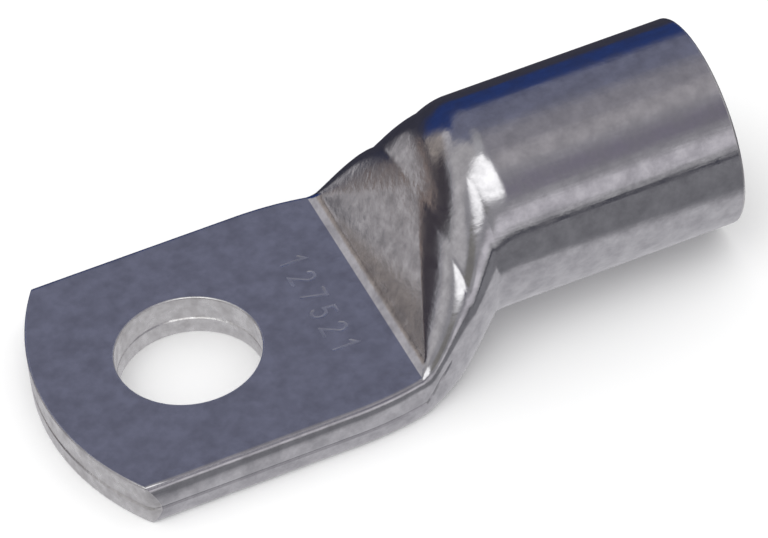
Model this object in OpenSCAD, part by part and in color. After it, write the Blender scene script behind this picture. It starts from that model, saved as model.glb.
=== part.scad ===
// Tubular cable lug: one piece of tin-plated copper tube. One end stays round and takes the
// stranded conductor; the other is pressed flat into a two-layer palm with a stud hole.
// Origin: stud hole's centre on the palm's underside. +X runs to the barrel's mouth, +Z is up.

/* [Tube] */
// Outside diameter of the barrel
barrel_od = 15.5; // [13.5:0.1:17.5]
// Wall of the tube
tube_wall = 1.7; // [1.3:0.05:2.1]
// From the stud hole's centre to the barrel's mouth
mouth_x = 40; // [34:0.5:50]
// Width of the broken edges at the mouth
mouth_break = 0.2; // [0.1:0.05:0.35]

/* [Palm] */
// How much wider the press spreads the palm than the tube's own girth laid flat
palm_spread = 1.02; // [1:0.005:1.05]
// Diameter of the stud hole
stud_hole_d = 10.5; // [6.5:0.1:12]
// From the stud hole's centre to the tip of the nose
nose_reach = 11; // [9.5:0.1:13]
// Radius of the arc across the nose
nose_r = 20; // [16:0.5:26]
// Radius of the nose's two corners
nose_corner_r = 1.2; // [0.8:0.1:2]
// Rounding of the palm's folded long edges, across the palm
fold_round = 0.7; // [0.4:0.05:1]
// How far the seam between the two layers lies below mid-thickness
seam_drop = 0.3; // [0:0.05:0.4]
// Depth of the crease that the seam leaves in the folded edges and the nose
crease_depth = 0.1; // [0.06:0.01:0.16]

/* [Neck and slope] */
// From the stud hole's centre to where the palm's sides begin to neck in
neck_x = 8; // [5:0.5:10]
// From the stud hole's centre to the step at the foot of the slope
step_x = 13.8; // [13:0.1:16]
// Run of the slope, from the step to the shoulder
slope_run = 7.1; // [6.5:0.1:10]
// Half length of the half-steep bevel that the press leaves at the step
step_bevel = 0.3; // [0.2:0.05:0.6]
// Half length of the soft bend at the shoulder
shoulder_bend = 2; // [0.8:0.1:2.4]
// Share of the rise at which the slope's flat facet closes to a point
facet_close = 0.62; // [0.5:0.02:0.9]

/* [Hidden] */

// What the tube's own sizes fix
barrel_r = barrel_od / 2;
bore_r = barrel_r - tube_wall;
palm_t = 2 * tube_wall;
palm_half_w = (PI * bore_r / 2 + tube_wall) * palm_spread; // the tube's girth, laid flat
seam_z = tube_wall - seam_drop;

// The slope, and the cavity's slope one wall inside it
shoulder_x = step_x + slope_run;
slope_gain = (barrel_od - palm_t) / slope_run;
wall_shift = tube_wall * (sqrt(1 + slope_gain * slope_gain) - 1) / slope_gain;
barrel_x = shoulder_x + shoulder_bend;
bore_x = barrel_x + wall_shift;

// How the section changes along the tube, each as a power of its own share of the way
neck_power = 2.1;
corner_power = 4.6;
widest_power = 0.8;
palm_e_power = 10;
round_e_power = 3;

// Squareness of the section's corners: 2 is an ellipse, more is squarer, 1 leaves a sharp edge
round_e = 2;
palm_e = 2.8;
facet_e = 1.3; // beside the slope's facet
cheek_e = 3.4; // at the slope's sides
under_e = 2.2; // underneath, and in the cavity

// Points round a quarter of a section, and the last one's angle, just short of the crease
quarter_n = 13;
crease_angle = 88;
first_angle_max = 90 / quarter_n / 2;
round_fn = 8 * quarter_n;
nose_sweep = 120; // sweep of the groove, wider than the nose itself
cut = 1; // how far a cutting solid runs past the face that it cuts
pinch = 0.2; // rounding inside the fold, where the cavity closes
join_ease = 0.01; // the pressed sections end this much inside the barrel and the bore
corner_ease = 0.02; // the nose corners' arcs cross the long edges instead of just touching them

// ---- Laws of the section along X ----

// Straight ramp from 0, its corner at u = 0 softened over k each way
function ramp(u, k) = u <= -k ? 0 : u >= k ? u : pow(u + k, 2) / (4 * k);

// Straight ramp from 0, its corner at u = 0 cut by a half-steep bevel over k each way
function bevelled_ramp(u, k) = max(0, u, (u + k) / 2);

// Share of the rise from palm to barrel: 0 on the palm, 1 on the barrel
function rise(x) =
    min(1, (bevelled_ramp(x - step_x, step_bevel) - ramp(x - shoulder_x, shoulder_bend)) / slope_run);

// Share of the way along the neck: 0 on the straight palm, 1 from the shoulder on
function neck(x) = max(0, min(1, (x - neck_x) / (shoulder_x - neck_x)));

// Half width of a skin that is palm_w wide on the palm and end_r on the barrel
function half_w(x, palm_w, end_r) = palm_w + (end_r - palm_w) * pow(neck(x), neck_power);

// Half width of the flat on top of the section: the palm, then the facet as it closes
function top_flat(x, share, palm_w, end_r, edge) =
    (half_w(min(x, step_x), palm_w, end_r) - edge) * max(0, 1 - share / facet_close);

// Half width of the flat underneath, as the corner grows from the edge's rounding to the barrel
function bottom_flat(x, palm_w, end_r, edge) =
    half_w(x, palm_w, end_r) - edge - (end_r - edge) * pow(neck(x), corner_power);

// Squareness of a corner at a share of the rise: slope_e between the palm's and the barrel's
function squareness(share, slope_e) =
    slope_e + (palm_e - slope_e) * pow(1 - share, palm_e_power)
    + (round_e - slope_e) * pow(min(1, share / facet_close), round_e_power);

// ---- Sections ----

// First angle of a quarter: above 0 only where the flat is shorter than the barrel's own chord
function first_angle(flat, end_r) =
    first_angle_max * max(0, 1 - flat / (end_r * sin(first_angle_max)));

// Angles of a quarter's points, from the flat towards the widest point
function angles(first) =
    [for (i = [0:quarter_n - 1]) first + (90 - first) * i / quarter_n, crease_angle];

// Quarter of a section, from the end of a flat at height z0 to the widest point at height z1.
// flat_e is its squareness where it leaves the flat, and side_e at the widest point.
function quarter(flat, reach, z0, z1, flat_e, side_e, end_r) = [
    for (a = angles(first_angle(flat, end_r)))
        [flat + (reach - flat) * pow(sin(a), 2 / flat_e), z1 + (z0 - z1) * pow(cos(a), 2 / side_e)]
];

function reversed(list) = [for (i = [len(list) - 1:-1:0]) list[i]];

// Closed section at x: right half from top to bottom, then its mirror image back up
function section(x, upper, lower, reach, widest) =
    let (right = concat(upper, [[reach, widest]], reversed(lower)))
    concat(
        [for (p = right) [x, p[0], p[1]]],
        [for (p = reversed(right)) [x, -p[0], p[1]]]
    );

// Outside of the tube at x, with the seam's crease in its folded edges
function skin_section(x) =
    let (
        share = rise(x),
        end_r = barrel_r - join_ease,
        reach = half_w(x, palm_half_w, end_r),
        top = palm_t + (barrel_r + end_r - palm_t) * share,
        widest = seam_z + (barrel_r - seam_z) * pow(share, widest_power),
        flat_t = top_flat(x, share, palm_half_w, end_r, fold_round),
        flat_b = bottom_flat(x, palm_half_w, end_r, fold_round),
        beside = squareness(share, facet_e),
        cheek = squareness(share, cheek_e),
        under = squareness(share, under_e)
    )
    section(
        x,
        quarter(flat_t, reach, top, widest, beside, cheek, end_r),
        quarter(flat_b, reach, join_ease * share, widest, under, under, end_r),
        reach - crease_depth * (1 - share),
        widest
    );

// Inside of the tube at x, one wall inside the skin: it opens from the pinch to the bore
function cavity_section(x) =
    let (
        share = rise(x - wall_shift),
        end_r = bore_r - join_ease,
        palm_w = palm_half_w - tube_wall,
        reach = half_w(x, palm_w, end_r),
        top = barrel_r + end_r * (2 * share - 1),
        widest = barrel_r + end_r * (share - 1),
        flat_t = top_flat(x, share, palm_w, end_r, pinch),
        flat_b = bottom_flat(x, palm_w, end_r, pinch),
        e = squareness(share, under_e)
    )
    section(
        x,
        quarter(flat_t, reach, top, widest, e, e, end_r),
        quarter(flat_b, reach, barrel_r - end_r, widest, e, e, end_r),
        reach,
        widest
    );

// n stations from a up to, but not at, b
function stations(a, b, n) = [for (i = [0:n - 1]) a + (b - a) * i / n];

// ---- Solids ----

// Skin through a list of sections with the same number of points, closed at both ends
module loft(sections) {
    rows = len(sections);
    cols = len(sections[0]);
    polyhedron(
        points = [for (s = sections) each s],
        faces = concat(
            [[for (j = [cols - 1:-1:0]) j]],
            [[for (j = [0:cols - 1]) (rows - 1) * cols + j]],
            [for (i = [0:rows - 2], j = [0:cols - 1]) let (k = (j + 1) % cols)
                [i * cols + j, i * cols + k, (i + 1) * cols + j]],
            [for (i = [0:rows - 2], j = [0:cols - 1]) let (k = (j + 1) % cols)
                [i * cols + k, (i + 1) * cols + k, (i + 1) * cols + j]]
        )
    );
}

// Palm, neck and slope as one pressed skin, up to where the barrel is round
module pressed_skin() {
    xs = concat(
        [-nose_reach - cut],
        stations(neck_x, step_x - step_bevel, 7),
        stations(step_x - step_bevel, step_x + step_bevel, 2),
        stations(step_x + step_bevel, shoulder_x - shoulder_bend, 12),
        stations(shoulder_x - shoulder_bend, barrel_x, 7),
        [barrel_x]
    );
    loft([for (x = xs) skin_section(x)]);
}

// The tube's cavity through the slope, from where the layers meet to where the bore is round
module pressed_cavity() {
    foot_x = step_x + wall_shift;
    top_x = shoulder_x + wall_shift;
    xs = concat(
        stations(foot_x, foot_x + step_bevel, 2),
        stations(foot_x + step_bevel, top_x - shoulder_bend, 9),
        stations(top_x - shoulder_bend, bore_x, 6),
        [bore_x, bore_x + cut]
    );
    loft([for (x = xs) cavity_section(x)]);
}

// Plan of the palm's cut end: an arc with two rounded corners, wide open towards the barrel
module nose_plan() {
    arc_x = nose_r - nose_reach;
    corner_y = palm_half_w - nose_corner_r + corner_ease;
    corner_reach = nose_r - nose_corner_r;
    corner_x = arc_x - sqrt(pow(corner_reach, 2) - pow(corner_y, 2));
    touch_y = corner_y * nose_r / corner_reach;
    open_x = mouth_x - corner_x;
    intersection() {
        translate([arc_x, 0]) circle(r = nose_r, $fn = 4 * round_fn);
        translate([-nose_reach - cut, -touch_y]) square([nose_r, 2 * touch_y]);
    }
    for (side = [-1, 1]) translate([corner_x, side * corner_y]) circle(r = nose_corner_r, $fn = round_fn);
    translate([corner_x, -palm_half_w - cut]) square([open_x, 2 * (palm_half_w + cut)]);
}

// Groove that the seam leaves across the cut face of the nose
module nose_crease() {
    translate([nose_r - nose_reach, 0, seam_z])
        rotate([0, 0, 180 - nose_sweep / 2])
        rotate_extrude(angle = nose_sweep, $fn = 4 * round_fn)
            polygon([
                [nose_r - crease_depth, 0],
                [nose_r + cut, crease_depth + cut],
                [nose_r + cut, -crease_depth - cut]
            ]);
}

// Round barrel with its outer edge broken at the mouth
module barrel() {
    run = mouth_x - barrel_x;
    translate([barrel_x, 0, barrel_r]) rotate([0, 90, 0])
        rotate_extrude($fn = round_fn)
            polygon([
                [0, 0],
                [barrel_r, 0],
                [barrel_r, run - mouth_break],
                [barrel_r - mouth_break, run],
                [0, run]
            ]);
}

// Conductor bore, from the end of the cavity out through the mouth, with its edge broken
module cable_bore() {
    translate([bore_x, 0, barrel_r]) rotate([0, 90, 0])
        cylinder(r = bore_r, h = mouth_x - bore_x + cut, $fn = round_fn);
    translate([mouth_x - mouth_break, 0, barrel_r]) rotate([0, 90, 0])
        cylinder(r1 = bore_r, r2 = bore_r + mouth_break + cut, h = mouth_break + cut, $fn = round_fn);
}

module stud_hole() {
    translate([0, 0, -cut]) cylinder(d = stud_hole_d, h = palm_t + 2 * cut, $fn = round_fn);
}

module cable_lug() {
    color([0.68, 0.68, 0.71])
        difference() {
            union() {
                intersection() {
                    pressed_skin();
                    translate([0, 0, -cut]) linear_extrude(barrel_od + 2 * cut) nose_plan();
                }
                barrel();
            }
            pressed_cavity();
            cable_bore();
            stud_hole();
            nose_crease();
        }
}

cable_lug();
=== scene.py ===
"""A tinned copper cable lug, dressed for a studio picture.

The lug is one piece of tube: its barrel is still round, and its palm is pressed flat out of two
layers, punched for the stud and cut to an arc at the nose. Sizes below are in millimetres in the
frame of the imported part, whose origin is the stud hole's centre on the palm's underside.
"""

import logging
import math
from dataclasses import dataclass, field
from enum import Enum
from functools import cached_property

import bpy
import numpy as np
from mathutils import Matrix, Vector
from mathutils.geometry import delaunay_2d_cdt

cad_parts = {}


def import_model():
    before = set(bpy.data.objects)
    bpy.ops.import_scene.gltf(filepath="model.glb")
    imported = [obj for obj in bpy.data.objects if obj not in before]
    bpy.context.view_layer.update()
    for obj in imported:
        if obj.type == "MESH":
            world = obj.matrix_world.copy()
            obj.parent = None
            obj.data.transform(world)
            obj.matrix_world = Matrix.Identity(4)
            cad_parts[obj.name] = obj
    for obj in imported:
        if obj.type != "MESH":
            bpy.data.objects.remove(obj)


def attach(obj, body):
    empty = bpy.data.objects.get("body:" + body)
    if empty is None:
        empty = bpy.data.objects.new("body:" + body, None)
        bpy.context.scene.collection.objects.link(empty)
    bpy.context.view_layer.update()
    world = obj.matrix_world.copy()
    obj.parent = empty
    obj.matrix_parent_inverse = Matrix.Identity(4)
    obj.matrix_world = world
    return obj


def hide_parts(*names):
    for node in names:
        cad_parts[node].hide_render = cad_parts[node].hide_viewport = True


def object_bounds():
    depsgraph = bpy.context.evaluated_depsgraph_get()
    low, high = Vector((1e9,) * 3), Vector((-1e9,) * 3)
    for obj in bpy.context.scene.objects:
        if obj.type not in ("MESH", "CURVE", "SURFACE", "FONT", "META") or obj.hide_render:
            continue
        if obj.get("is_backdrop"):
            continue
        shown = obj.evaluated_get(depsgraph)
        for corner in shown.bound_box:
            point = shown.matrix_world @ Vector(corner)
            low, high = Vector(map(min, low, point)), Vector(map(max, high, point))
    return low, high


MM = 0.001
LOG = logging.getLogger("cable_lug")

Point = tuple[float, float]
Sockets = dict[str | int, object]


# ---------------------------------------------------------------- small helpers


def linear(hex_colour: str) -> tuple[float, float, float, float]:
    """Turns an sRGB hex colour into a linear one.

    Args:
        hex_colour: Six hex digits, such as "c8c8cc".

    Returns:
        Linear red, green and blue, with an alpha of 1.
    """
    channels = [int(hex_colour[i : i + 2], 16) / 255 for i in (0, 2, 4)]
    return (*(c / 12.92 if c <= 0.04045 else ((c + 0.055) / 1.055) ** 2.4 for c in channels), 1.0)


def smooth(value: float, low: float, high: float) -> float:
    """Eases from 0 at low to 1 at high.

    Args:
        value: Where to read the ease.
        low: The last value that gives 0.
        high: The first value that gives 1.

    Returns:
        The eased share, from 0 to 1.
    """
    share = min(1.0, max(0.0, (value - low) / (high - low)))
    return share * share * (3 - 2 * share)


def add_node(tree: bpy.types.NodeTree, kind: str, settings: Sockets, links: Sockets) -> bpy.types.Node:
    """Adds a shader node with its settings and links.

    Args:
        tree: The node tree that takes the node.
        kind: The node's type name.
        settings: Node properties by name, and socket values by socket name or number.
        links: Output sockets by the name or number of the input that each feeds.

    Returns:
        The new node.
    """
    node = tree.nodes.new(kind)
    for name, value in settings.items():
        if isinstance(name, str) and hasattr(node, name):
            setattr(node, name, value)
        else:
            node.inputs[name].default_value = value
    for name, socket in links.items():
        tree.links.new(socket, node.inputs[name])
    return node


# ---------------------------------------------------------------- the lug's form


class Zone(Enum):
    """Surfaces of the lug that were made in different ways."""

    PRESSED = 0
    SHEARED = 1
    INSIDE = 2


@dataclass(frozen=True)
class LugSizes:
    """The lug's sizes, in millimetres."""

    barrel_od: float = 15.5
    tube_wall: float = 1.7
    mouth_x: float = 40.0
    mouth_break: float = 0.2
    palm_spread: float = 1.02
    stud_hole_d: float = 10.5
    nose_reach: float = 11.0
    nose_r: float = 20.0
    nose_corner_r: float = 1.2
    fold_round: float = 0.7
    seam_drop: float = 0.3
    crease_depth: float = 0.1
    neck_x: float = 8.0
    step_x: float = 13.8
    slope_run: float = 7.1
    step_bevel: float = 0.3
    shoulder_bend: float = 2.0
    facet_close: float = 0.62
    cut_round: float = 0.14
    pinch: float = 0.2

    @property
    def barrel_r(self) -> float:
        """Outside radius of the barrel."""
        return self.barrel_od / 2

    @property
    def bore_r(self) -> float:
        """Radius of the conductor bore."""
        return self.barrel_r - self.tube_wall

    @property
    def palm_t(self) -> float:
        """Thickness of the palm, two layers of tube wall."""
        return 2 * self.tube_wall

    @property
    def palm_half_w(self) -> float:
        """Half width of the palm, which is the tube's girth laid flat."""
        return (math.pi * self.bore_r / 2 + self.tube_wall) * self.palm_spread

    @property
    def seam_z(self) -> float:
        """Height of the seam between the two layers."""
        return self.tube_wall - self.seam_drop

    @property
    def shoulder_x(self) -> float:
        """Where the slope meets the barrel."""
        return self.step_x + self.slope_run

    @property
    def foot_x(self) -> float:
        """Where the slope starts to rise."""
        return self.step_x - self.step_bevel

    @property
    def barrel_x(self) -> float:
        """Where the barrel is fully round."""
        return self.shoulder_x + self.shoulder_bend

    @property
    def wall_shift(self) -> float:
        """How far the cavity's slope lies behind the skin's, one wall apart."""
        gain = (self.barrel_od - self.palm_t) / self.slope_run
        return self.tube_wall * (math.sqrt(1 + gain * gain) - 1) / gain


@dataclass(frozen=True)
class SectionLaws:
    """How the tube's section changes along its length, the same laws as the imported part's."""

    sizes: LugSizes
    neck_power: float = 2.1
    corner_power: float = 4.6
    widest_power: float = 0.8
    round_e: float = 2.0
    palm_e: float = 2.8
    facet_e: float = 1.3
    cheek_e: float = 3.4
    under_e: float = 2.2
    palm_e_power: float = 10.0
    round_e_power: float = 3.0
    crease_angle: float = math.radians(88)
    flat_columns: int = 10
    fold_columns: int = 22
    trace_points: int = 361

    @property
    def quarter_columns(self) -> int:
        """Number of columns over a quarter of the section."""
        return self.flat_columns + self.fold_columns

    def rise(self, x: float) -> float:
        """Share of the rise from palm to barrel at x.

        Args:
            x: Place along the tube.

        Returns:
            0 on the palm and 1 on the barrel.
        """
        s = self.sizes
        step = max(0.0, x - s.step_x, (x - s.foot_x) / 2)
        return min(1.0, (step - self._ramp(x - s.shoulder_x, s.shoulder_bend)) / s.slope_run)

    @staticmethod
    def _ramp(u: float, k: float) -> float:
        """Straight ramp from 0, with its corner softened over k each way."""
        if u <= -k:
            return 0.0
        return u if u >= k else (u + k) ** 2 / (4 * k)

    def neck(self, x: float) -> float:
        """Share of the way along the neck at x."""
        s = self.sizes
        return min(1.0, max(0.0, (x - s.neck_x) / (s.shoulder_x - s.neck_x)))

    def half_w(self, x: float, palm_w: float, end_r: float) -> float:
        """Half width at x of a skin that is palm_w wide on the palm and end_r on the barrel."""
        return palm_w + (end_r - palm_w) * self.neck(x) ** self.neck_power

    def _squareness(self, share: float, slope_e: float) -> float:
        """Squareness of a corner at a share of the rise, slope_e between the palm and the crown.

        Args:
            share: Share of the rise from palm to barrel.
            slope_e: The corner's own squareness on the slope.

        Returns:
            The superellipse power, 2 for round and more for squarer.
        """
        crown = min(1.0, share / self.sizes.facet_close) ** self.round_e_power
        palm = (1 - share) ** self.palm_e_power
        return slope_e + (self.palm_e - slope_e) * palm + (self.round_e - slope_e) * crown

    def _flats(self, x: float, share: float, palm_w: float, end_r: float, edge: float) -> Point:
        """Half widths of the flats on top of and under the section at x.

        Args:
            x: Place along the tube.
            share: Share of the rise there.
            palm_w: Half width on the palm.
            end_r: Radius on the barrel.
            edge: Width that the fold takes beside a flat.

        Returns:
            The half width on top, then the one underneath.
        """
        s = self.sizes
        foot_w = self.half_w(min(x, s.step_x), palm_w, end_r)
        top = (foot_w - edge) * max(0.0, 1 - share / s.facet_close)
        under = self.half_w(x, palm_w, end_r) - edge - (end_r - edge) * self.neck(x) ** self.corner_power
        return top, under

    def _quarter(self, start: Point, end: Point, powers: Point, spread: float) -> np.ndarray:
        """Points over a quarter of the section, from its middle to its widest point.

        Args:
            start: Half width and height of the flat.
            end: Half width and height of the widest point.
            powers: Squareness where the corner leaves the flat, and where it meets the widest point.
            spread: 0 keeps the columns gathered on the fold, and 1 spreads them evenly.

        Returns:
            One row of y and z for each column, and a last one at the widest point.
        """
        (flat, z0), (reach, z1) = start, end
        dense = np.linspace(0, math.pi / 2, self.trace_points)
        y = flat + (reach - flat) * np.sin(dense) ** (2 / powers[0])
        z = z1 + (z0 - z1) * np.cos(dense).clip(0) ** (2 / powers[1])
        run = np.concatenate([[0], np.cumsum(np.hypot(np.diff(y), np.diff(z)))])
        ease = np.sin(np.linspace(0, math.pi / 2, self.flat_columns, endpoint=False))
        folds = np.interp(np.linspace(0, self.crease_angle, self.fold_columns), dense, run)
        gathered = np.concatenate([flat * ease - flat, folds, [run[-1]]])
        even = np.linspace(-flat, run[-1], self.quarter_columns + 1)
        at = gathered * (1 - spread) + even * spread
        ys = np.where(at < 0, at + flat, np.interp(at, run, y))
        zs = np.where(at < 0, z0, np.interp(at, run, z))
        return np.stack([ys, zs], axis=1)

    def _ring(self, top: np.ndarray, under: np.ndarray, notch: float) -> np.ndarray:
        """Closes two quarters into a ring of y and z, with the seam's crease at its widest points.

        Args:
            top: Quarter from the middle of the top.
            under: Quarter from the middle underneath.
            notch: Depth of the crease.

        Returns:
            Rows of y and z, from the middle of the top and back to it.
        """
        top, under = top.copy(), under.copy()
        top[-1, 0] -= notch
        right = np.concatenate([top, under[-2::-1]])
        left = right[-2:0:-1] * (-1, 1)
        return np.concatenate([right, left])

    def skin(self, x: float) -> np.ndarray:
        """Ring of y and z round the outside of the tube at x."""
        s = self.sizes
        share = self.rise(x)
        spread = smooth(x, s.foot_x, s.barrel_x)
        flat_t, flat_u = self._flats(x, share, s.palm_half_w, s.barrel_r, s.fold_round)
        reach = self.half_w(x, s.palm_half_w, s.barrel_r)
        widest = s.seam_z + (s.barrel_r - s.seam_z) * share**self.widest_power
        height = s.palm_t + (s.barrel_od - s.palm_t) * share
        powers = self._squareness(share, self.facet_e), self._squareness(share, self.cheek_e)
        under_e = self._squareness(share, self.under_e)
        top = self._quarter((flat_t, height), (reach, widest), powers, spread)
        under = self._quarter((flat_u, 0.0), (reach, widest), (under_e, under_e), spread)
        return self._ring(top, under, s.crease_depth * (1 - share))

    def cavity(self, x: float) -> np.ndarray:
        """Ring of y and z round the inside of the tube at x, one wall inside the skin."""
        s = self.sizes
        share = self.rise(x - s.wall_shift)
        e = self._squareness(share, self.under_e)
        palm_w = s.palm_half_w - s.tube_wall
        flat_t, flat_u = self._flats(x, share, palm_w, s.bore_r, s.pinch)
        reach = self.half_w(x, palm_w, s.bore_r)
        ceiling = s.barrel_r + s.bore_r * (2 * share - 1)
        widest = s.barrel_r + s.bore_r * (share - 1)
        top = self._quarter((flat_t, ceiling), (reach, widest), (e, e), 1.0)
        under = self._quarter((flat_u, s.barrel_r - s.bore_r), (reach, widest), (e, e), 1.0)
        return self._ring(top, under, 0.0)


@dataclass
class MeshBuilder:
    """Gathers points and faces, in millimetres, and makes one mesh of them."""

    points: list[tuple[float, float, float]] = field(default_factory=list)
    faces: list[tuple[int, ...]] = field(default_factory=list)
    zones: list[int] = field(default_factory=list)
    creased: list[bool] = field(default_factory=list)

    def add_points(self, rows: np.ndarray) -> list[int]:
        """Adds rows of x, y and z, and returns their numbers."""
        first = len(self.points)
        self.points.extend(tuple(row) for row in rows.tolist())
        return list(range(first, len(self.points)))

    def add_face(self, corners: tuple[int, ...], zone: Zone, creased: bool = False) -> None:
        """Adds one face, of at least three different corners.

        Args:
            corners: Point numbers, where neighbours may be the same.
            zone: The surface that it belongs to.
            creased: Whether it is shaded flat.
        """
        kept = tuple(dict.fromkeys(corners))
        if len(kept) > 2:
            self.faces.append(kept)
            self.zones.append(zone.value)
            self.creased.append(creased)

    def bridge(self, first: list[int], second: list[int], zone: Zone, closed: bool = True) -> None:
        """Joins two rows of the same number of points with quads.

        Args:
            first: Point numbers of one row.
            second: Point numbers of the other.
            zone: The surface that the quads belong to.
            closed: Whether the rows are rings.
        """
        count = len(first)
        for i in range(count if closed else count - 1):
            j = (i + 1) % count
            self.add_face((first[i], first[j], second[j], second[i]), zone)

    def loft(self, rows: list[list[int]], zone: Zone, closed: bool = True) -> None:
        """Joins each row to the next.

        Args:
            rows: Point numbers of each row.
            zone: The surface that the quads belong to.
            closed: Whether the rows are rings.
        """
        for first, second in zip(rows, rows[1:]):
            self.bridge(first, second, zone, closed)

    def build(self, name: str, sharp_angle: float) -> bpy.types.Object:
        """Makes the object, in metres, with its edges sharp past an angle.

        Args:
            name: Name of the object and its mesh.
            sharp_angle: Faces that meet at more than this angle keep a sharp edge, in radians.

        Returns:
            The new object, linked to the scene.
        """
        mesh = bpy.data.meshes.new(name)
        mesh.from_pydata([tuple(c * MM for c in p) for p in self.points], [], self.faces)
        mesh.validate()
        mesh.update()
        for polygon, zone, creased in zip(mesh.polygons, self.zones, self.creased):
            polygon.material_index = zone
            polygon.use_smooth = not creased
        mesh.set_sharp_from_angle(angle=sharp_angle)
        piece = bpy.data.objects.new(name, mesh)
        bpy.context.scene.collection.objects.link(piece)
        weighted = piece.modifiers.new("flat faces keep their shading", "WEIGHTED_NORMAL")
        weighted.keep_sharp = True
        return piece


@dataclass(frozen=True)
class StampedRow:
    """A row of plain digits, struck lightly into the palm beside the step.

    Each digit is a stroke on a unit cell, one wide and two high, listed one by one.
    """

    middle_x: float = 10.0
    height: float = 1.8
    pitch: float = 1.9
    stroke_w: float = 0.24
    depth: float = 0.02
    text: str = "127521"

    def _bow(self, middle: Point, reach: Point, start: float, end: float, steps: int) -> list[Point]:
        """Points along part of an ellipse, from start to end in degrees."""
        angles = np.radians(np.linspace(start, end, steps))
        return [(middle[0] + reach[0] * math.cos(a), middle[1] + reach[1] * math.sin(a)) for a in angles]

    def _strokes(self) -> dict[str, list[Point]]:
        """The stroke of each digit, on its unit cell."""
        return {
            "1": [(0.15, 1.6), (0.55, 2.0), (0.55, 0.0)],
            "2": self._bow((0.5, 1.5), (0.45, 0.5), 165, -30, 8) + [(0.05, 0.0), (0.95, 0.0)],
            "5": [(0.9, 2.0), (0.25, 2.0), (0.15, 1.15)] + self._bow((0.45, 0.6), (0.5, 0.6), 90, -150, 9),
            "7": [(0.05, 2.0), (0.95, 2.0), (0.35, 0.0)],
        }

    def grooves(self) -> list[np.ndarray]:
        """Middle lines of the grooves in x and y, the row reading from the back to the front."""
        half = self.height / 2
        lines = []
        for i, digit in enumerate(self.text):
            start_y = ((len(self.text) - 1) / 2 - i) * self.pitch + half / 2
            cell = np.array(self._strokes()[digit])
            xs = self.middle_x + (cell[:, 1] - 1) * half
            ys = start_y - cell[:, 0] * half
            lines.append(np.stack([xs, ys], axis=1))
        return lines


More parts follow.
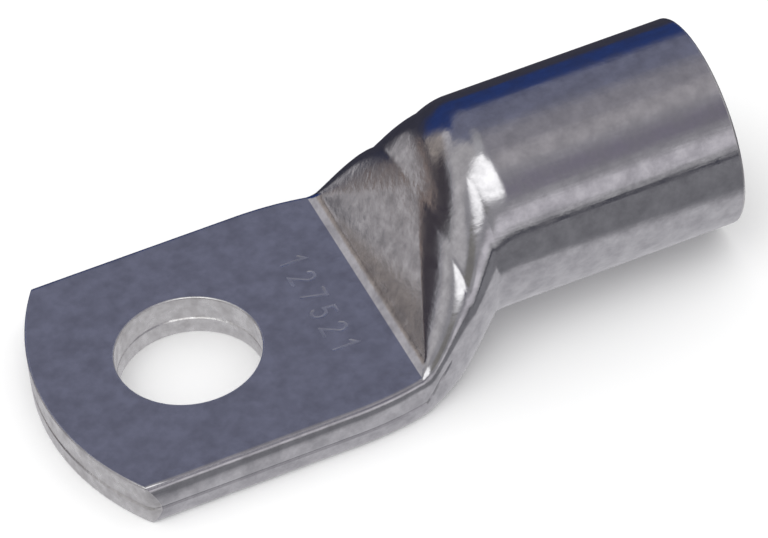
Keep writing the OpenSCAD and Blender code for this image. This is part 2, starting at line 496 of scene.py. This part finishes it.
@dataclass
class CableLug:
    """The lug: its pressed palm and slope, its barrel and bore, and its stud hole."""

    sizes: LugSizes = field(default_factory=LugSizes)
    stamp: StampedRow = field(default_factory=StampedRow)
    neck_stations: int = 14
    side_stations: int = 8
    nose_columns: int = 40
    hole_columns: int = 128
    slope_stations: int = 56
    cavity_stations: int = 36
    barrel_stations: int = 12
    edge_steps: int = 4
    corner_points: int = 30
    arc_points: int = 240
    nose_gather: float = 1.6
    same_point: float = 1e-7
    sharp_angle: float = math.radians(32)

    @cached_property
    def laws(self) -> SectionLaws:
        """The laws of the tube's section."""
        return SectionLaws(self.sizes)

    def build(self) -> bpy.types.Object:
        """Builds the lug as one closed mesh."""
        mesh = MeshBuilder()
        foot = self._skin_row(mesh, self.sizes.foot_x)
        self._add_palm(mesh, foot)
        shoulder = self._add_slope(mesh, foot)
        self._add_barrel_and_bore(mesh, shoulder)
        return mesh.build("cable_lug_skin", self.sharp_angle)

    # ---- rows round the tube

    def _row(self, mesh: MeshBuilder, x: float, ring: np.ndarray) -> list[int]:
        """Adds a ring of y and z at x."""
        return mesh.add_points(np.column_stack([np.full(len(ring), x), ring]))

    def _skin_row(self, mesh: MeshBuilder, x: float) -> list[int]:
        """Adds the ring round the outside of the tube at x."""
        return self._row(mesh, x, self.laws.skin(x))

    def _add_slope(self, mesh: MeshBuilder, foot: list[int]) -> list[int]:
        """Adds the skin from the foot of the slope to the round barrel, and returns its last row.

        Args:
            mesh: The builder that takes the points and faces.
            foot: The ring at the foot of the slope.

        Returns:
            The ring where the barrel starts.
        """
        s = self.sizes
        xs = np.linspace(s.foot_x, s.barrel_x, self.slope_stations + 1)[1:]
        rows = [foot] + [self._skin_row(mesh, x) for x in xs]
        mesh.loft(rows, Zone.PRESSED)
        return rows[-1]

    def _round_ring(self, mesh: MeshBuilder, x: float, radius: float) -> list[int]:
        """Adds a round ring about the bore's axis, in the order of the tube's own rings."""
        s = self.sizes
        ring = self.laws.skin(s.barrel_x) - (0, s.barrel_r)
        return self._row(mesh, x, ring * (radius / s.barrel_r) + (0, s.barrel_r))

    def _add_barrel_and_bore(self, mesh: MeshBuilder, shoulder: list[int]) -> None:
        """Adds the barrel, its mouth with both edges broken, the bore and the tapering cavity.

        Args:
            mesh: The builder that takes the points and faces.
            shoulder: The ring where the barrel starts.
        """
        s = self.sizes
        edge_x = s.mouth_x - s.mouth_break
        turns = np.linspace(0, math.pi / 2, self.edge_steps + 1)
        outer = [shoulder]
        for x in np.linspace(s.barrel_x, edge_x, self.barrel_stations + 1)[1:]:
            outer.append(self._round_ring(mesh, x, s.barrel_r))
        mesh.loft(outer, Zone.PRESSED)
        lip = [outer[-1]]
        for turn in turns[1:]:
            drop = s.mouth_break * (1 - math.cos(turn))
            lip.append(self._round_ring(mesh, edge_x + s.mouth_break * math.sin(turn), s.barrel_r - drop))
        for turn in turns[::-1]:
            drop = s.mouth_break * (1 - math.cos(turn))
            lip.append(self._round_ring(mesh, edge_x + s.mouth_break * math.sin(turn), s.bore_r + drop))
        mesh.loft(lip, Zone.SHEARED)
        bore_x = s.barrel_x + s.wall_shift
        inside = [lip[-1]]
        for x in np.linspace(edge_x, bore_x, self.barrel_stations + 1)[1:]:
            inside.append(self._round_ring(mesh, x, s.bore_r))
        for x in np.linspace(bore_x, s.step_x + s.wall_shift, self.cavity_stations + 1)[1:]:
            inside.append(self._row(mesh, x, self.laws.cavity(x)))
        mesh.loft(inside, Zone.INSIDE)
        mesh.add_face(tuple(inside[-1]), Zone.INSIDE)

    # ---- palm

    def _levels(self) -> slice:
        """Columns of a ring that lie on the right-hand fold, from the top flat to the one underneath."""
        laws = self.laws
        return slice(laws.flat_columns, 2 * laws.quarter_columns - laws.flat_columns + 1)

    def _cut_inset(self, z: float) -> float:
        """How far a sheared face lies inside its plan at height z, with its edges just broken.

        Args:
            z: Height above the palm's underside.

        Returns:
            The inset, 0 between the broken edges.
        """
        s = self.sizes
        r = s.cut_round
        deep = r - min(z, s.palm_t - z, r)
        return r - math.sqrt(max(0.0, r * r - deep * deep))

    def _nose(self, half_w: float, inset: float) -> np.ndarray:
        """Points along half of the nose's cut, from the long edge to the nose's tip.

        Args:
            half_w: Half width of the palm at this height.
            inset: How far the cut lies inside the nose's plan here.

        Returns:
            Rows of x and y, closer together near the corner.
        """
        s = self.sizes
        arc_x = s.nose_r - s.nose_reach
        corner_y = s.palm_half_w - s.nose_corner_r
        corner_turn = math.asin(corner_y / (s.nose_r - s.nose_corner_r))
        corner_x = arc_x - (s.nose_r - s.nose_corner_r) * math.cos(corner_turn)
        arc_r, corner_r = s.nose_r - inset, s.nose_corner_r - inset
        start = math.asin(min(1.0, (half_w - corner_y) / corner_r))
        arc_start = corner_turn if start > corner_turn else math.asin(half_w / arc_r)
        turns = np.linspace(start, corner_turn, self.corner_points) if start > corner_turn else np.empty(0)
        corner = np.stack([corner_x - corner_r * np.cos(turns), corner_y + corner_r * np.sin(turns)], axis=1)
        turns = np.linspace(arc_start, 0, self.arc_points)
        arc = np.stack([arc_x - arc_r * np.cos(turns), arc_r * np.sin(turns)], axis=1)
        path = np.concatenate([corner, arc])
        run = np.concatenate([[0], np.cumsum(np.hypot(*np.diff(path, axis=0).T))])
        at = np.linspace(0, 1, self.nose_columns + 1) ** self.nose_gather * run[-1]
        return np.stack([np.interp(at, run, path[:, 0]), np.interp(at, run, path[:, 1])], axis=1)

    def _palm_rows(self, mesh: MeshBuilder, foot: list[int]) -> list[list[int]]:
        """Adds one row per level of the fold, each from the foot of the slope round the nose and back.

        Args:
            mesh: The builder that takes the points.
            foot: The ring at the foot of the slope.

        Returns:
            The rows, from the top flat's down to the one underneath.
        """
        s = self.sizes
        levels = self._levels()
        neck_xs = np.linspace(s.foot_x, s.neck_x, self.neck_stations + 1)[1:]
        necks = [self.laws.skin(x)[levels] for x in neck_xs]
        straight = self.laws.skin(s.neck_x)[levels]
        rows = []
        for level, (half_w, z) in enumerate(straight):
            inset = s.crease_depth if self._is_crease(level) else self._cut_inset(z)
            nose = self._nose(half_w, inset)
            side_xs = np.linspace(s.neck_x, nose[0, 0], self.side_stations + 1)[1:-1]
            side = [(x, neck[level, 0]) for x, neck in zip(neck_xs, necks)]
            side += [(x, half_w) for x in side_xs]
            half = np.concatenate([np.array(side), nose])
            whole = np.concatenate([half, half[-2::-1] * (1, -1)])
            points = mesh.add_points(np.column_stack([whole, np.full(len(whole), z)]))
            right = foot[levels.start + level]
            left = foot[len(foot) - levels.start - level]
            rows.append([right] + points + [left])
        return rows

    def _is_crease(self, level: int) -> bool:
        """Whether a level of the fold is the bottom of the seam's crease."""
        return level == self.laws.quarter_columns - self.laws.flat_columns

    def _add_palm(self, mesh: MeshBuilder, foot: list[int]) -> None:
        """Adds the palm's folded and cut edges, both flat faces and the stud hole.

        Args:
            mesh: The builder that takes the points and faces.
            foot: The ring at the foot of the slope.
        """
        rows = self._palm_rows(mesh, foot)
        side_count = self.neck_stations + self.side_stations - 1
        for upper, lower in zip(rows, rows[1:]):
            last = len(upper) - 1
            for i in range(last):
                zone = Zone.SHEARED if side_count < i < last - side_count - 1 else Zone.PRESSED
                mesh.add_face((upper[i], upper[i + 1], lower[i + 1], lower[i]), zone)
        hole = self._add_stud_hole(mesh)
        flat = self.laws.flat_columns
        middle = 2 * self.laws.quarter_columns
        across_top = foot[-flat + 1 :] + foot[:flat]
        across_under = foot[middle - flat + 1 : middle + flat]
        self._add_flat(mesh, rows[0] + across_top, hole[0], self.stamp.grooves())
        self._add_flat(mesh, rows[-1] + across_under[::-1], hole[-1], [])

    def _add_stud_hole(self, mesh: MeshBuilder) -> list[list[int]]:
        """Adds the hole's wall, with broken edges and the seam of the two layers part way down.

        Args:
            mesh: The builder that takes the points and faces.

        Returns:
            The hole's rings, from the top down.
        """
        s = self.sizes
        count = self.edge_steps + 1
        heights = [s.palm_t - s.cut_round * (1 - math.cos(t)) for t in np.linspace(0, math.pi / 2, count)]
        heights += [s.seam_z + s.crease_depth, s.seam_z, s.seam_z - s.crease_depth]
        heights += [s.cut_round * (1 - math.cos(t)) for t in np.linspace(math.pi / 2, 0, count)]
        turns = np.linspace(0, 2 * math.pi, self.hole_columns, endpoint=False)
        rows = []
        for z in heights:
            grown = s.crease_depth if z == s.seam_z else self._cut_inset(z)
            radius = s.stud_hole_d / 2 + grown
            row = np.stack([radius * np.cos(turns), radius * np.sin(turns), np.full(len(turns), z)], axis=1)
            rows.append(mesh.add_points(row))
        mesh.loft(rows, Zone.SHEARED)
        return rows

    def _groove_outline(self, line: np.ndarray) -> np.ndarray:
        """Outline of a groove about its middle line, pointed at both ends.

        Args:
            line: Middle line, in x and y.

        Returns:
            The start's tip, the right side, the end's tip, then the left side back to the start.
        """
        half = self.stamp.stroke_w / 2
        step = np.diff(line, axis=0)
        step /= np.hypot(*step.T)[:, None]
        before = np.concatenate([step[:1], step])
        after = np.concatenate([step, step[-1:]])
        mitre = before + after
        mitre /= (mitre * before).sum(axis=1)[:, None]
        across = np.stack([-mitre[:, 1], mitre[:, 0]], axis=1) * half
        tips = line[0] - step[0] * half, line[-1] + step[-1] * half
        return np.concatenate([[tips[0]], line - across, [tips[1]], (line + across)[::-1]])

    def _add_flat(
        self, mesh: MeshBuilder, rim: list[int], hole: list[int], grooves: list[np.ndarray]
    ) -> None:
        """Adds a flat face inside a rim and round the hole, with grooves struck into it.

        Args:
            mesh: The builder that holds the rim's and the hole's points.
            rim: Point numbers round the face.
            hole: Point numbers round the hole.
            grooves: Middle lines of the grooves, in x and y.
        """
        known = rim + hole
        level = mesh.points[rim[0]][2]
        spots = [Vector(mesh.points[i][:2]) for i in known]
        faces = [list(range(len(rim))), list(range(len(rim), len(known)))]
        for line in grooves:
            outline = self._groove_outline(line)
            loop = mesh.add_points(np.column_stack([outline, np.full(len(outline), level)]))
            self._add_groove(mesh, line, loop)
            faces.append(list(range(len(spots), len(spots) + len(loop))))
            spots.extend(Vector(p) for p in outline.tolist())
            known = known + loop
        _, _, cells, origins, _, sources = delaunay_2d_cdt(spots, [], faces, 0, self.same_point)
        numbers = [known[origin[0]] for origin in origins]
        for cell, source in zip(cells, sources):
            if list(source) == [0]:
                mesh.add_face(tuple(numbers[i] for i in cell), Zone.PRESSED)

    def _add_groove(self, mesh: MeshBuilder, line: np.ndarray, loop: list[int]) -> None:
        """Adds a groove's two sloping sides, from its outline down to its middle line.

        Args:
            mesh: The builder that takes the points and faces.
            line: Middle line, in x and y.
            loop: Point numbers of the outline.
        """
        count = len(line)
        low = mesh.points[loop[0]][2] - self.stamp.depth
        middle = mesh.add_points(np.column_stack([line, np.full(count, low)]))
        middle = [loop[0]] + middle + [loop[count + 1]]
        for side in (loop[: count + 2], [loop[0]] + loop[: count : -1]):
            for i in range(count + 1):
                corners = side[i], side[i + 1], middle[i + 1], middle[i]
                # The groove walls take the sheared finish, whose lighter tone is painted light.
                mesh.add_face(corners, Zone.SHEARED, creased=True)


# ---------------------------------------------------------------- finishes


@dataclass(frozen=True)
class TinPlate:
    """Bright electroplated tin over copper, which keeps the marks of how the copper was worked.

    Tin is a pale, faintly warm metal. The plating is thin and even, so the surface under it sets the
    gloss: drawn and pressed skin is glossy with soft blotches, sheared metal is scored and duller.
    """

    name: str
    light: str
    dark: str
    roughness: float
    blotch_mm: float
    blotch_rough: float
    grain_mm: float
    grain_height_mm: float
    draw_mm: tuple[float, float, float]
    draw_height_mm: float
    tint_span: Point = (0.32, 0.68)
    gloss_span: Point = (0.3, 0.7)

    def build(self) -> bpy.types.Material:
        """Builds the material."""
        material = bpy.data.materials.new(self.name)
        material.use_nodes = True
        tree = material.node_tree
        shader = tree.nodes["Principled BSDF"]
        shader.inputs["Metallic"].default_value = 1.0
        place = add_node(tree, "ShaderNodeTexCoord", {}, {}).outputs["Object"]
        blotch = add_node(
            tree,
            "ShaderNodeTexNoise",
            {"Scale": 1 / (self.blotch_mm * MM), "Detail": 3.0, "Roughness": 0.6},
            {"Vector": place},
        )
        tint = add_node(tree, "ShaderNodeValToRGB", {}, {"Fac": blotch.outputs["Fac"]})
        tint.color_ramp.elements[0].position = self.tint_span[0]
        tint.color_ramp.elements[0].color = linear(self.dark)
        tint.color_ramp.elements[1].position = self.tint_span[1]
        tint.color_ramp.elements[1].color = linear(self.light)
        tree.links.new(tint.outputs["Color"], shader.inputs["Base Color"])
        gloss = add_node(
            tree,
            "ShaderNodeMapRange",
            {
                "From Min": self.gloss_span[0],
                "From Max": self.gloss_span[1],
                "To Min": self.roughness + self.blotch_rough,
                "To Max": self.roughness - self.blotch_rough,
            },
            {"Value": blotch.outputs["Fac"]},
        )
        tree.links.new(gloss.outputs["Result"], shader.inputs["Roughness"])
        stretched = add_node(
            tree,
            "ShaderNodeMapping",
            {"Scale": tuple(1 / (mm * MM) for mm in self.draw_mm)},
            {"Vector": place},
        )
        marks = add_node(
            tree,
            "ShaderNodeTexNoise",
            {"Scale": 1.0, "Detail": 2.0, "Roughness": 0.5},
            {"Vector": stretched.outputs["Vector"]},
        )
        grain = add_node(
            tree,
            "ShaderNodeTexNoise",
            {"Scale": 1 / (self.grain_mm * MM), "Detail": 2.0, "Roughness": 0.55},
            {"Vector": place},
        )
        drawn = add_node(
            tree,
            "ShaderNodeBump",
            {"Distance": self.draw_height_mm * MM, "Strength": 1.0},
            {"Height": marks.outputs["Fac"]},
        )
        rough = add_node(
            tree,
            "ShaderNodeBump",
            {"Distance": self.grain_height_mm * MM, "Strength": 1.0},
            {"Height": grain.outputs["Fac"], "Normal": drawn.outputs["Normal"]},
        )
        tree.links.new(rough.outputs["Normal"], shader.inputs["Normal"])
        return material


# Pressed and drawn skin: glossy, with soft blotches in the plating and faint lines along the tube.
PRESSED_TIN = TinPlate(
    name="tin_plated_copper_pressed",
    light="d9d8da",
    dark="bcbbbe",
    roughness=0.16,
    blotch_mm=1.3,
    blotch_rough=0.05,
    grain_mm=0.45,
    grain_height_mm=0.006,
    draw_mm=(9.0, 0.5, 0.5),
    draw_height_mm=0.008,
)
# Sheared edges: scored down through the thickness by the punch, so duller and brighter in patches. Their
# whole tone is also painted lighter than the pressed skin's, painted light that brightens the lit wall of
# the stud hole, the cut edges and the grooves.
SHEARED_TIN_PAINTED_LIGHTER = TinPlate(
    name="tin_plated_copper_sheared_painted_lighter",
    # Painted light: both tones sit lighter than the pressed skin's, to brighten the lit stud hole wall.
    light="eeedec",
    dark="cfcdcc",
    roughness=0.3,
    blotch_mm=0.9,
    blotch_rough=0.06,
    grain_mm=0.3,
    grain_height_mm=0.006,
    draw_mm=(0.35, 0.35, 4.0),
    draw_height_mm=0.02,
)
# Inside of the tube: the same plating, thinner and satin, with the drawing lines left on.
INSIDE_TIN = TinPlate(
    name="tin_plated_copper_inside",
    light="cfcdcd",
    dark="b3aeac",
    roughness=0.38,
    blotch_mm=1.6,
    blotch_rough=0.05,
    grain_mm=0.4,
    grain_height_mm=0.005,
    draw_mm=(12.0, 0.4, 0.4),
    draw_height_mm=0.01,
)
FINISHES = {Zone.PRESSED: PRESSED_TIN, Zone.SHEARED: SHEARED_TIN_PAINTED_LIGHTER, Zone.INSIDE: INSIDE_TIN}


# ---------------------------------------------------------------- studio


@dataclass(frozen=True)
class Viewpoint:
    """Where the camera stands: above the palm and to its front, looking down at the lug.

    Angles are in degrees, lengths in millimetres, and the near clip in metres.
    """

    azimuth: float = -19.2
    elevation: float = 44.3
    roll: float = -6.26
    distance: float = 408.0
    aim: tuple[float, float, float] = (14.77, -1.11, 5.53)
    lens: float = 271.2
    sensor_width: float = 36.0
    clip_start: float = 0.01

    def build(self) -> bpy.types.Object:
        """Builds the camera and makes it the scene's."""
        turn, lift, roll = (math.radians(a) for a in (self.azimuth, self.elevation, self.roll))
        back = Vector((math.sin(turn) * math.cos(lift), -math.cos(turn) * math.cos(lift), math.sin(lift)))
        level = Vector((math.cos(turn), math.sin(turn), 0))
        upright = back.cross(level)
        right = level * math.cos(roll) + upright * math.sin(roll)
        up = back.cross(right)
        spot = (Vector(self.aim) + back * self.distance) * MM
        camera = bpy.data.objects.new("camera", bpy.data.cameras.new("camera"))
        camera.data.lens = self.lens
        camera.data.sensor_width = self.sensor_width
        camera.data.clip_start = self.clip_start
        camera.matrix_world = Matrix.Translation(spot) @ Matrix((right, up, back)).transposed().to_4x4()
        bpy.context.scene.collection.objects.link(camera)
        bpy.context.scene.camera = camera
        return camera


@dataclass(frozen=True)
class Card:
    """A soft-edged patch of the studio that the metal mirrors, placed by direction in degrees.

    Azimuth 0 is behind the lug, along +Y, and 90 is on its right, along +X.
    """

    azimuth: float
    elevation: float
    half_width: float
    half_height: float
    soft: float
    colour: str
    strength: float = 1.0


@dataclass(frozen=True)
class PaintedReflectionPatch:
    """An oval soft-edged patch of painted reflection, which the floor glows with for glossy rays only, in
    millimetres.

    Its edge is soft over a share of its half width and half depth.
    """

    middle: Point
    half: Point
    soft: float
    colour: str


@dataclass(frozen=True)
class Studio:
    """A pale floor, plain soft light, and the bright and dark cards that shape the metal.

    The floor and the lamp are sized and placed in metres.
    """

    floor_half: float = 2.0
    floor_colour: str = "f6f6f6"
    # Painted reflection: the floor glows with these colours for glossy rays only. They are a dark blue-grey
    # round lighter patches, which the metal mirrors as bands of light and shade.
    painted_reflection_base: str = "3c3c48"
    patches: tuple[PaintedReflectionPatch, ...] = (
        PaintedReflectionPatch((-110.0, 105.0), (60.0, 60.0), 0.4, "8f7f77"),
        PaintedReflectionPatch((30.0, -60.0), (70.0, 60.0), 0.4, "848489"),
        PaintedReflectionPatch((16.0, -1.0), (42.0, 16.0), 0.25, "c6c5c9"),
        PaintedReflectionPatch((-28.0, 50.0), (28.0, 28.0), 0.2, "bfbcbe"),
    )
    lamp_height: float = 0.5
    lamp_aside: float = 0.12
    lamp_size: float = 0.45
    lamp_watts: float = 0.9
    zenith: str = "96949c"
    horizon: str = "a4a4a6"
    cards: tuple[Card, ...] = (
        Card(-30, 74, 50, 13, 14, "b4b4b8"),
        Card(-5, 38, 72, 24, 16, "777a8f"),
        Card(5, 10, 42, 18, 12, "283c73"),
        Card(125, 68, 28, 7, 8, "b0adb1"),
        Card(-68, 40, 18, 26, 14, "b9b7b9"),
        Card(-45, 6, 8, 12, 6, "ada49e"),
        Card(-58, 2, 9, 10, 5, "403b43"),
        Card(-45, 20, 8, 5, 4, "c8c6ca"),
        Card(-88, 16, 18, 9, 8, "c8c6c8"),
        Card(-128, 27, 18, 9, 8, "84827f"),
        Card(158, 44, 16, 9, 12, "7e7a88"),
        Card(165, 15, 30, 9, 12, "d8d5db"),
        Card(-138, 61, 54, 20, 8, "ffffff", 1.6),
    )

    def build(self) -> None:
        """Builds the floor, the lamp and the world."""
        self._build_floor()
        self._build_lamp()
        self._build_world()

    def _build_floor(self) -> None:
        """Builds the floor: matt paper to the camera, and to glossy rays a glow of painted reflection, pale
        near the lug on darker grey.
        """
        mesh = bpy.data.meshes.new("floor")
        h = self.floor_half
        mesh.from_pydata([(-h, -h, 0), (h, -h, 0), (h, h, 0), (-h, h, 0)], [], [(0, 1, 2, 3)])
        floor = bpy.data.objects.new("floor", mesh)
        bpy.context.scene.collection.objects.link(floor)
        material = bpy.data.materials.new("matt_paper_with_painted_reflection")
        material.use_nodes = True
        tree = material.node_tree
        tree.nodes.remove(tree.nodes["Principled BSDF"])
        paper = add_node(tree, "ShaderNodeBsdfDiffuse", {"Color": linear(self.floor_colour)}, {})
        # Painted reflection: to glossy rays the floor glows with painted light and dark patches instead of
        # showing the lit paper.
        painted_reflection_colour = self._painted_floor_reflection(tree)
        glow = add_node(tree, "ShaderNodeEmission", {}, {"Color": painted_reflection_colour})
        path = add_node(tree, "ShaderNodeLightPath", {}, {})
        surface = add_node(
            tree,
            "ShaderNodeMixShader",
            {},
            {0: path.outputs["Is Glossy Ray"], 1: paper.outputs["BSDF"], 2: glow.outputs["Emission"]},
        )
        tree.links.new(surface.outputs["Shader"], tree.nodes["Material Output"].inputs["Surface"])
        mesh.materials.append(material)
        floor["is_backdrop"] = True

    def _painted_floor_reflection(self, tree: bpy.types.NodeTree) -> bpy.types.NodeSocket:
        """Adds the nodes for the painted reflection that the floor glows with for glossy rays: pale near the
        lug, darker further off.

        Args:
            tree: The floor's node tree.

        Returns:
            The socket of the painted reflection's colour.
        """
        place = add_node(tree, "ShaderNodeTexCoord", {}, {}).outputs["Object"]
        colour = add_node(tree, "ShaderNodeRGB", {}, {}).outputs[0]
        colour.default_value = linear(self.painted_reflection_base)
        for patch in self.patches:
            shift = add_node(
                tree,
                "ShaderNodeVectorMath",
                {"operation": "SUBTRACT", 1: (patch.middle[0] * MM, patch.middle[1] * MM, 0.0)},
                {0: place},
            )
            shape = add_node(
                tree,
                "ShaderNodeVectorMath",
                {"operation": "DIVIDE", 1: (patch.half[0] * MM, patch.half[1] * MM, 1.0)},
                {0: shift.outputs["Vector"]},
            )
            reach = add_node(
                tree, "ShaderNodeVectorMath", {"operation": "LENGTH"}, {0: shape.outputs["Vector"]}
            )
            edge = add_node(
                tree,
                "ShaderNodeMapRange",
                {
                    "interpolation_type": "SMOOTHSTEP",
                    "From Min": 1 + patch.soft / 2,
                    "From Max": 1 - patch.soft / 2,
                },
                {"Value": reach.outputs["Value"]},
            )
            mixed = add_node(
                tree,
                "ShaderNodeMix",
                {"data_type": "RGBA", 7: linear(patch.colour)},
                {0: edge.outputs["Result"], 6: colour},
            )
            colour = mixed.outputs[2]
        return colour

    def _build_lamp(self) -> None:
        """Builds the soft overhead lamp that gives the floor its shadow."""
        data = bpy.data.lights.new("softbox", "AREA")
        data.size = self.lamp_size
        data.energy = self.lamp_watts
        lamp = bpy.data.objects.new("softbox", data)
        lamp.location = (-self.lamp_aside, -self.lamp_aside, self.lamp_height)
        lamp.rotation_euler = (Vector((0, 0, 0)) - lamp.location).to_track_quat("-Z", "Y").to_euler()
        lamp.visible_glossy = False
        bpy.context.scene.collection.objects.link(lamp)

    def _card_mask(
        self, tree: bpy.types.NodeTree, card: Card, direction: bpy.types.NodeSocket
    ) -> bpy.types.NodeSocket:
        """Adds the nodes that are 1 on a card and ease to 0 past its edges.

        Args:
            tree: The world's node tree.
            card: The card.
            direction: Socket of the direction that is looked in.

        Returns:
            The socket of the mask.
        """
        turned = add_node(
            tree,
            "ShaderNodeVectorRotate",
            {"rotation_type": "Z_AXIS", "Angle": math.radians(card.azimuth)},
            {"Vector": direction},
        )
        axes = add_node(tree, "ShaderNodeSeparateXYZ", {}, {0: turned.outputs["Vector"]})
        aside = add_node(
            tree, "ShaderNodeMath", {"operation": "ARCTAN2"}, {0: axes.outputs["X"], 1: axes.outputs["Y"]}
        )
        height = add_node(tree, "ShaderNodeMath", {"operation": "ARCSINE"}, {0: axes.outputs["Z"]})
        lift = math.radians(card.elevation)
        above = add_node(tree, "ShaderNodeMath", {"operation": "SUBTRACT", 1: lift}, {0: height.outputs[0]})
        mask = None
        for node, half in ((aside, card.half_width), (above, card.half_height)):
            size = add_node(tree, "ShaderNodeMath", {"operation": "ABSOLUTE"}, {0: node.outputs[0]})
            edge = add_node(
                tree,
                "ShaderNodeMapRange",
                {
                    "interpolation_type": "SMOOTHSTEP",
                    "From Min": math.radians(half - card.soft / 2),
                    "From Max": math.radians(half + card.soft / 2),
                    "To Min": 1.0,
                    "To Max": 0.0,
                },
                {"Value": size.outputs[0]},
            )
            if mask is None:
                mask = edge.outputs["Result"]
            else:
                both = add_node(
                    tree, "ShaderNodeMath", {"operation": "MULTIPLY"}, {0: mask, 1: edge.outputs["Result"]}
                )
                mask = both.outputs[0]
        return mask

    def _build_world(self) -> None:
        """Builds the world: plain white light, and the cards for what the metal mirrors."""
        world = bpy.data.worlds.new("studio")
        world.use_nodes = True
        bpy.context.scene.world = world
        tree = world.node_tree
        direction = add_node(tree, "ShaderNodeTexCoord", {}, {}).outputs["Generated"]
        axes = add_node(tree, "ShaderNodeSeparateXYZ", {}, {0: direction})
        sky = add_node(tree, "ShaderNodeValToRGB", {}, {"Fac": axes.outputs["Z"]})
        sky.color_ramp.elements[0].color = linear(self.horizon)
        sky.color_ramp.elements[1].color = linear(self.zenith)
        colour = sky.outputs["Color"]
        for card in self.cards:
            tone = tuple(c * card.strength for c in linear(card.colour)[:3]) + (1.0,)
            mixed = add_node(
                tree,
                "ShaderNodeMix",
                {"data_type": "RGBA", 7: tone},
                {0: self._card_mask(tree, card, direction), 6: colour},
            )
            colour = mixed.outputs[2]
        path = add_node(tree, "ShaderNodeLightPath", {}, {})
        seen = add_node(
            tree,
            "ShaderNodeMix",
            {"data_type": "RGBA", 6: (1.0, 1.0, 1.0, 1.0)},
            {0: path.outputs["Is Glossy Ray"], 7: colour},
        )
        tree.links.new(seen.outputs[2], tree.nodes["Background"].inputs["Color"])


# ---------------------------------------------------------------- the scene


def dress_lug() -> bpy.types.Object:
    """Builds the lug's skin, gives it its finishes and puts it in the solid's place."""
    skin = CableLug().build()
    for zone in Zone:
        skin.data.materials.append(FINISHES[zone].build())
    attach(skin, "root")
    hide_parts("cable_lug")
    return skin


def main() -> None:
    """Builds the camera, the studio and the lug."""
    logging.basicConfig(level=logging.INFO, format="%(message)s")
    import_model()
    solid_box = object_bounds()
    bpy.context.scene.view_settings.view_transform = "Standard"
    Viewpoint().build()
    LOG.info("camera placed")
    Studio().build()
    LOG.info("studio lit")
    skin = dress_lug()
    LOG.info("%s: %d faces", skin.name, len(skin.data.polygons))
    boxes = {"solid": solid_box, "dressed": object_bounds()}
    plain = {name: [[float(c) for c in corner] for corner in box] for name, box in boxes.items()}


if __name__ == "__main__":
    main()
